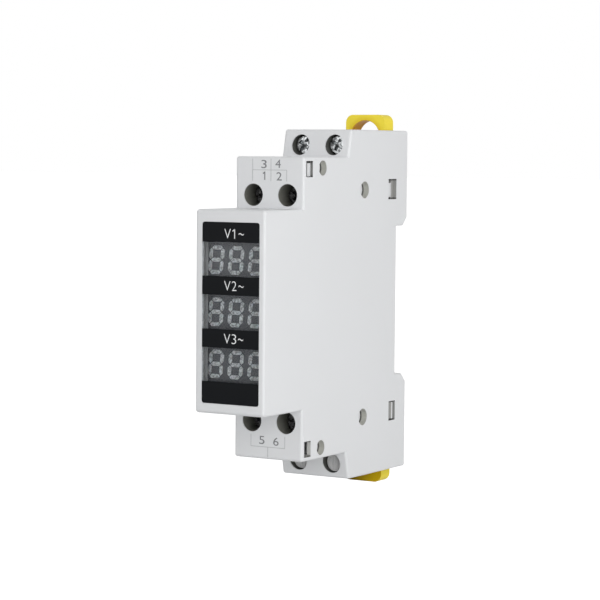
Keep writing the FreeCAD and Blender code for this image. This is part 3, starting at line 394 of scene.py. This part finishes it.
# one sign of the default typeface, scaled to a width and a height
def addGlyph(shape, sign, left, low, width, height, front, back, middle=False, thin=0.0):
    text = bpy.data.curves.new("glyph", "FONT")
    text.body = sign
    text.offset = thin
    text.extrude = 0.5  # any depth does, as it is scaled too
    holder = bpy.data.objects.new("glyph", text)
    bpy.context.scene.collection.objects.link(holder)
    flat = bpy.data.meshes.new_from_object(holder)
    bpy.data.objects.remove(holder)
    bpy.data.curves.remove(text)
    flat.transform(Matrix.Rotation(math.radians(90), 4, "X"))
    points = [vert.co for vert in flat.vertices]
    corner = Vector([min(point[axis] for point in points) for axis in range(3)])
    span = Vector([max(point[axis] for point in points) for axis in range(3)]) - corner
    shift = corner.x + span.x / 2 if middle else corner.x
    flat.transform(Matrix.Translation((-shift, -corner.y, -corner.z)))
    size = (width * mm / span.x, (back - front) * mm / span.y, height * mm / span.z)
    flat.transform(Matrix.Diagonal((*size, 1)))
    flat.transform(Matrix.Translation(Vector((left, front, low)) * mm))
    shape.from_mesh(flat)
    bpy.data.meshes.remove(flat)


# display window: clear lens with black bars and white channel marks on its front
windowLook = {
    "clear": (0.89, 0.90, 0.905),
    "gloss": (0.93, 0.94, 0.96),
    "glossRoughness": 0.08,
    "glossShare": 0.25,
    "refraction": 1.5,
    "bars": ((15.4, 19.75), (3.83, 7.9), (-7.8, -3.72), (-20.15, -15.3)),  # height from and to
    "sides": (-7.2, 7.6),
    "lensEnds": (-20.15, 19.75),  # where the lens ends and its corners are round
    "cornerRadius": 0.6,
    "cornerSteps": 5,
    "barBack": -58.952,
    "barFront": -58.975,
    "barColour": (0.0044, 0.0052, 0.0066),
    "barRoughness": 0.35,
    "barShine": 0.07,
    "markFront": -58.99,
    "markColour": (0.96, 0.97, 0.98),
    "markRoughness": 0.4,
    "markHeight": 2.12,
    "markThin": -0.015,
    "markBottom": (16.2, 4.8, -6.8),
    "marks": {"V": (-1.45, 1.65), "digit": (0.55, 1.2), "~": (2.22, 1.4)},  # left edge and width
    "tilde": (0.52, 0.76),  # its height, and how far its foot lies above the others'
    "one": (1.3, 0.2),  # right edge and stroke of the figure one
}


def makeLensFinish(look):
    finish = Finish("clearLens", Base_Color=look["gloss"], Metallic=1.0, Roughness=look["glossRoughness"])
    clear = finish.node("ShaderNodeBsdfTransparent", {}, {"Color": look["clear"]})
    shine = finish.node("ShaderNodeFresnel", {}, {"IOR": look["refraction"]})
    gloss = Strand(finish, finish.shader.outputs[0])
    mixed = finish.node("ShaderNodeMixShader", {}, {0: shine * look["glossShare"], 1: clear, 2: gloss})
    finish.feed(finish.tree.nodes["Material Output"].inputs["Surface"], mixed)
    return finish


# flat bar on the lens, with round corners where the lens ends
def addBar(shape, low, high, look):
    left, right = look["sides"]
    front, back = look["barFront"], look["barBack"]
    made = bmesh.ops.create_cube(shape, size=1)["verts"]
    middle = Vector(((left + right) / 2, (front + back) / 2, (low + high) / 2)) * mm
    bmesh.ops.scale(shape, verts=made, vec=Vector((right - left, back - front, high - low)) * mm)
    bmesh.ops.translate(shape, verts=made, vec=middle)
    corners = [edge for edge in shape.edges if edge.verts[0] in made
               and abs((edge.verts[0].co - edge.verts[1].co).y) > (back - front) / 2 * mm
               and round(edge.verts[0].co.z / mm, 2) in look["lensEnds"]]
    if corners:
        bmesh.ops.bevel(shape, geom=corners, offset=look["cornerRadius"] * mm, offset_type="OFFSET",
                        segments=look["cornerSteps"], profile=0.5, affect="EDGES", material=-1)


def makeWindow(look):
    dress(makeLensFinish(look), "display_window")
    bars = bmesh.new()
    for low, high in look["bars"]:
        addBar(bars, low, high, look)
    black = makeInk("blackPrint", look["barColour"], look["barRoughness"], look["barShine"])
    makePiece("windowPrint", bars, black)
    marks = bmesh.new()
    depths = (look["markFront"], look["barFront"])
    for number, low in enumerate(look["markBottom"], 1):
        for sign, kind in (("V", "V"), (str(number), "digit"), ("~", "~")):
            left, width = look["marks"][kind]
            height, rise = look["tilde"] if sign == "~" else (look["markHeight"], 0)
            if sign == "1":
                right, stroke = look["one"]
                addOne(marks, right, low, height, stroke, *depths)
            else:
                addGlyph(marks, sign, left, low + rise, width, height, *depths, thin=look["markThin"])
    white = makeInk("whitePrint", look["markColour"], look["markRoughness"])
    makePiece("channelMarks", marks, white)


makeWindow(windowLook)
print("window made")

# terminal numbers in grey and pale lines round them, printed on the tiers
tierLook = {
    "front": -42.93,
    "back": -42.89,
    "colour": (0.22, 0.225, 0.235),
    "lineColour": (0.50, 0.51, 0.52),
    "roughness": 0.5,
    "digitHeight": 1.85,
    "digitWidth": 1.4,
    "one": (0.35, 0.26),  # right edge of the figure one from its middle, and its stroke
    "digits": (  # figure, middle across and up
        ("1", -1.5, 29.8), ("2", 2.5, 29.7), ("3", -1.5, 32.4),
        ("4", 2.2, 32.5), ("5", -1.6, -29.8), ("6", 2.15, -29.9)),
    "lineWidth": 0.12,
    "lines": (  # across and up, from and to
        (-4.5, 28.6, -4.5, 33.6), (4.5, 28.6, 4.5, 31.1), (0.35, 28.6, 0.35, 33.6), (-4.5, 31.1, 4.5, 31.1),
        (-4.5, -28.6, -4.5, -31.3), (4.5, -28.6, 4.5, -31.3), (-4.5, -31.3, 4.5, -31.3), (0, -31.3, 0, -33.6)),
}


def makeTierMarks(look):
    marks = bmesh.new()
    height = look["digitHeight"]
    depths = (look["front"], look["back"])
    for sign, across, up in look["digits"]:
        low = up - height / 2
        if sign == "1":
            right, stroke = look["one"]
            addOne(marks, across + right, low, height, stroke, *depths)
        else:
            addGlyph(marks, sign, across, low, look["digitWidth"], height, *depths, middle=True)
    makePiece("terminalMarks", marks, makeInk("greyPrint", look["colour"], look["roughness"]))
    lines = bmesh.new()
    for startX, startZ, endX, endZ in look["lines"]:
        addStroke(lines, (startX, startZ), (endX, endZ), look["lineWidth"], *depths)
    makePiece("terminalLines", lines, makeInk("palePrint", look["lineColour"], look["roughness"]))


makeTierMarks(tierLook)
print("terminal marks made")

# displays, switched off: dusty grey faces and milky segments
displayLook = {
    "face": (0.066, 0.068, 0.077),
    "faceRoughness": 0.45,
    "dust": 0.5,
    "dustLight": 1.3,
    "dustDepth": 0.01,
    "segment": (0.36, 0.365, 0.37),
    "segmentEdge": (0.90, 0.91, 0.92),
    "segmentRoughness": 0.35,
    "cloud": (0.45, 0.35, 0.65),  # lump size, and the noise at which the paler tone starts and is full
    "glow": (0.2, 0.0004),  # share of the light that enters a segment, and how far in metres
    "swing": 0.2,
}


def makeDisplayFinishes(look):
    face = Finish("displayFace")
    dust = face.speckle(look["dust"], 3)
    face.put(Base_Color=face.blend(dust, look["face"], shaded(look["face"], look["dustLight"])))
    face.roughen(look["faceRoughness"], look["swing"], dust)
    face.bump(dust, look["dustDepth"])
    dress(face, "display_top", "display_middle", "display_bottom")
    share, reach = look["glow"]
    milk = Finish("milkySegment", Subsurface_Weight=share, Subsurface_Scale=reach)
    across, start, full = look["cloud"]
    cloud = milk.ramp(milk.speckle(across, 3), start, full)
    milk.put(Base_Color=milk.blend(cloud, look["segment"], look["segmentEdge"]))
    milk.roughen(look["segmentRoughness"], look["swing"], cloud)
    dress(milk, "segments_top", "segments_middle", "segments_bottom")


makeDisplayFinishes(displayLook)
print("displays finished")

# terminal screws: turned heads with a smoky haze; the front heads, deep in their wells, are painted in shade
screwLook = {
    "pair": (9.0, 0.2),  # spacing of a pair of screws, and how far the pair stands to the right
    "front": (25.5, (0.17, 0.17, 0.175), 0.32),  # height from the middle, colour darkened as painted shade, roughness
    "rear": (36.85, (0.60, 0.62, 0.63), 0.38),
    "swing": 0.2,
    "haze": (0.7, 0.38, 0.62),  # lump size, and the noise at which the haze starts and is full
    "hazeShade": 0.3,
    "rings": (42, 0.5),  # turning marks: radians a millimetre, share beside the scratches
    "scratch": 0.15,
    "depth": 0.006,
}


def makeScrewFinish(name, row, look):
    height, colour, roughness = look[row]
    finish = Finish(name, Metallic=1.0)
    x, y, z = finish.axes()
    spacing, shift = look["pair"]
    across, up = abs(x - shift) - spacing / 2, abs(z) - height
    reach = (across * across + up * up) ** 0.5
    pitch, share = look["rings"]
    rings = finish.node("ShaderNodeMath", {"operation": "SINE"}, {0: reach * pitch})
    lump, start, full = look["haze"]
    haze = finish.ramp(finish.speckle(lump, 4), start, full)
    finish.put(Base_Color=finish.blend(haze, colour, shaded(colour, look["hazeShade"])))
    finish.roughen(roughness, look["swing"], haze)
    finish.bump(rings * share + finish.speckle(look["scratch"], 2), look["depth"])
    return finish


# other metals: colour, roughness, and how the brushing is stretched
metalLook = {
    "cage": ((0.60, 0.61, 0.62), 0.36, (1, 0.15, 1)),
    "contact": ((0.70, 0.67, 0.60), 0.30, (1, 1, 0.2)),
    "can": ((0.72, 0.73, 0.74), 0.28, (0.2, 1, 1)),
}
metalGrain = {"brushing": 0.5, "swing": 0.22, "depth": 0.006, "haze": 3, "hazeShade": 0.8}


def makeMetal(name, look):
    colour, roughness, stretch = look
    finish = Finish(name, Metallic=1.0)
    brushed = finish.speckle(metalGrain["brushing"], 4, stretch)
    haze = finish.speckle(metalGrain["haze"], 2)
    finish.put(Base_Color=finish.blend(haze, colour, shaded(colour, metalGrain["hazeShade"])))
    finish.roughen(roughness, metalGrain["swing"], brushed)
    finish.bump(brushed, metalGrain["depth"])
    return finish


# the front screws get the nickel darkened as painted shade
dress(makeScrewFinish("frontScrewNickelShaded", "front", screwLook),
      *[f"terminal_screw_{number}" for number in (1, 2, 5, 6)])
dress(makeScrewFinish("rearScrewNickel", "rear", screwLook), "terminal_screw_3", "terminal_screw_4")
dress(makeMetal("cageZinc", metalLook["cage"]), *[f"terminal_cage_{number}" for number in range(1, 7)])
dress(makeMetal("tinnedBrass", metalLook["contact"]), *[f"contact_bar_{number}" for number in range(1, 7)])
dress(makeMetal("canAluminium", metalLook["can"]), "filter_capacitor")
print("metals finished")

# plastics: colour and roughness
plasticLook = {
    "plug": ((0.72, 0.72, 0.72), 0.5),
    "clip": ((1.0, 0.82, 0.075), 0.42),
    "film": ((0.72, 0.56, 0.09), 0.45),
    "chip": ((0.018, 0.018, 0.02), 0.42),
    "header": ((0.02, 0.02, 0.022), 0.5),
}
plasticGrain = {"fine": 0.2, "swing": 0.1, "depth": 0.008, "broad": 7, "broadShade": 0.9}


def makeMoulded(name, look):
    colour, roughness = look
    finish = Finish(name)
    fine = finish.speckle(plasticGrain["fine"], 3)
    broad = finish.speckle(plasticGrain["broad"], 1)
    finish.put(Base_Color=finish.blend(broad, colour, shaded(colour, plasticGrain["broadShade"])))
    finish.roughen(roughness, plasticGrain["swing"], fine)
    finish.bump(fine, plasticGrain["depth"])
    return finish


# fine upright ribs on the blanking plugs, each as long as the round face lets it be
plugRibs = {
    "across": (-4.3, 4.7),  # middles of the two plugs
    "height": -36.85,
    "radius": 1.95,
    "each": 4,  # ribs on each side of the middle one
    "pitch": 0.44,
    "width": 0.2,
    "front": -21.06,
    "back": -20.88,
}


def makePlugRibs(look, finish):
    ribs = bmesh.new()
    for middle in look["across"]:
        for step in range(-look["each"], look["each"] + 1):
            off = step * look["pitch"]
            half = math.sqrt(look["radius"] ** 2 - off ** 2)
            addStroke(ribs, (middle + off, look["height"] - half), (middle + off, look["height"] + half),
                      look["width"], look["front"], look["back"])
    makePiece("plugRibs", ribs, finish)


# rail clips: yellow, with painted shade round and inside the eye of the pull loop, and on the front face below
# the housing
clipLook = {
    "shine": 0.08,
    "eye": (38.85, 4.06),  # height from the middle, and radius
    # painted shade inside the eye of the pull loop, and in a ring round it
    "inside": (0.66, 0.33, 0.0),
    "insideShadeEdge": (0.05, -0.02),  # where the painted shade inside starts and is full, from the radius
    "ring": (0.72, 0.46, 0.008),
    "ringWidth": 1.5,
    "ringShare": 0.45,
    "lowHeights": (-38, -42),  # where the painted shade below the housing starts and is full
    "lowDepth": 0.05,  # and how far back it goes
    # painted shade on the front face below the housing, darker to the left
    "low": (0.64, 0.43, 0.003),
    "lowDark": (0.09, 0.045, 0.001),
    "lowAcross": (-5.5, 5.0),  # from its dark side to its light side
}


def makeClipFinish(plastic, look):
    finish = makeMoulded("clipPlastic", plastic)
    finish.put(Specular_IOR_Level=look["shine"])
    x, y, z = finish.axes()
    colour = Strand(finish, finish.shader.inputs["Base Color"].links[0].from_socket)
    # painted shade round and inside the eye
    height, radius = look["eye"]
    up = abs(z) - height
    reach = (x * x + up * up) ** 0.5
    ring = finish.ramp(reach, radius + look["ringWidth"], radius) * look["ringShare"]
    colour = finish.blend(ring, colour, look["ring"])
    start, full = look["insideShadeEdge"]
    colour = finish.blend(finish.ramp(reach, radius + start, radius + full), colour, look["inside"])
    # painted shade on the front face below the housing
    under = finish.ramp(z, *look["lowHeights"]) * (y < look["lowDepth"])
    low = finish.blend(finish.ramp(x, *look["lowAcross"]), look["lowDark"], look["low"])
    finish.put(Base_Color=finish.blend(under, colour, low))
    return finish


plugPlastic = makeMoulded("plugPlastic", plasticLook["plug"])
dress(plugPlastic, "blanking_plug_7", "blanking_plug_8")
makePlugRibs(plugRibs, plugPlastic)
dress(makeClipFinish(plasticLook["clip"], clipLook), "rail_clip_top", "rail_clip_bottom")
dress(makeMoulded("filmCase", plasticLook["film"]), "film_capacitor")
dress(makeMoulded("chipCase", plasticLook["chip"]), "bridge_rectifier", "control_chip")
dress(makeMoulded("headerStrip", plasticLook["header"]), "board_header")
print("plastics finished")

# circuit boards: green lacquer over a net of paler tracks
boardLook = {
    "mask": (0.012, 0.11, 0.045),
    "track": (0.03, 0.20, 0.08),
    "pitch": 2.2,
    "trackEdge": (0.08, 0.12),
    "coat": (0.4, 0.2),  # weight and roughness of the lacquer
    "roughness": 0.35,
    "swing": 0.1,
    "weave": 0.4,
    "weaveShare": 0.3,
    "depth": 0.02,
}


def makeBoardFinish(look):
    weight, smooth = look["coat"]
    finish = Finish("boardLacquer", Coat_Weight=weight, Coat_Roughness=smooth)
    cells = finish.node("ShaderNodeTexVoronoi", {"feature": "DISTANCE_TO_EDGE", "distance": "MANHATTAN"},
                        {"Vector": finish.place, "Scale": 1 / (look["pitch"] * mm)})
    track = finish.ramp(cells, *look["trackEdge"])
    weave = finish.speckle(look["weave"], 2)
    finish.put(Base_Color=finish.blend(track, look["mask"], look["track"]))
    finish.roughen(look["roughness"], look["swing"], weave)
    finish.bump(track + look["weaveShare"] * weave, look["depth"])
    return finish


# input resistors: lacquered bodies with colour bands
resistorLook = {
    "body": (0.16, 0.36, 0.52),
    "cloud": 1.2,
    "cloudShade": 0.8,
    "roughness": 0.35,
    "swing": 0.1,
    "grain": 0.4,
    "bandHalf": 0.3,
    "bands": (  # height and colour
        (-7.5, (0.5, 0.25, 0.02)), (-6.4, (0.02, 0.02, 0.02)),
        (-5.3, (0.6, 0.3, 0.02)), (-4.2, (0.35, 0.12, 0.03))),
}


def makeResistorFinish(look):
    finish = Finish("resistorLacquer")
    x, y, z = finish.axes()
    cloud = finish.speckle(look["cloud"], 2)
    colour = finish.blend(cloud, look["body"], shaded(look["body"], look["cloudShade"]))
    for height, band in look["bands"]:
        colour = finish.blend(abs(z - height) < look["bandHalf"], colour, band)
    finish.put(Base_Color=colour)
    finish.roughen(look["roughness"], look["swing"], finish.speckle(look["grain"], 2))
    return finish


dress(makeBoardFinish(boardLook), "display_board", "main_board")
dress(makeResistorFinish(resistorLook), "input_resistors")
print("boards finished")
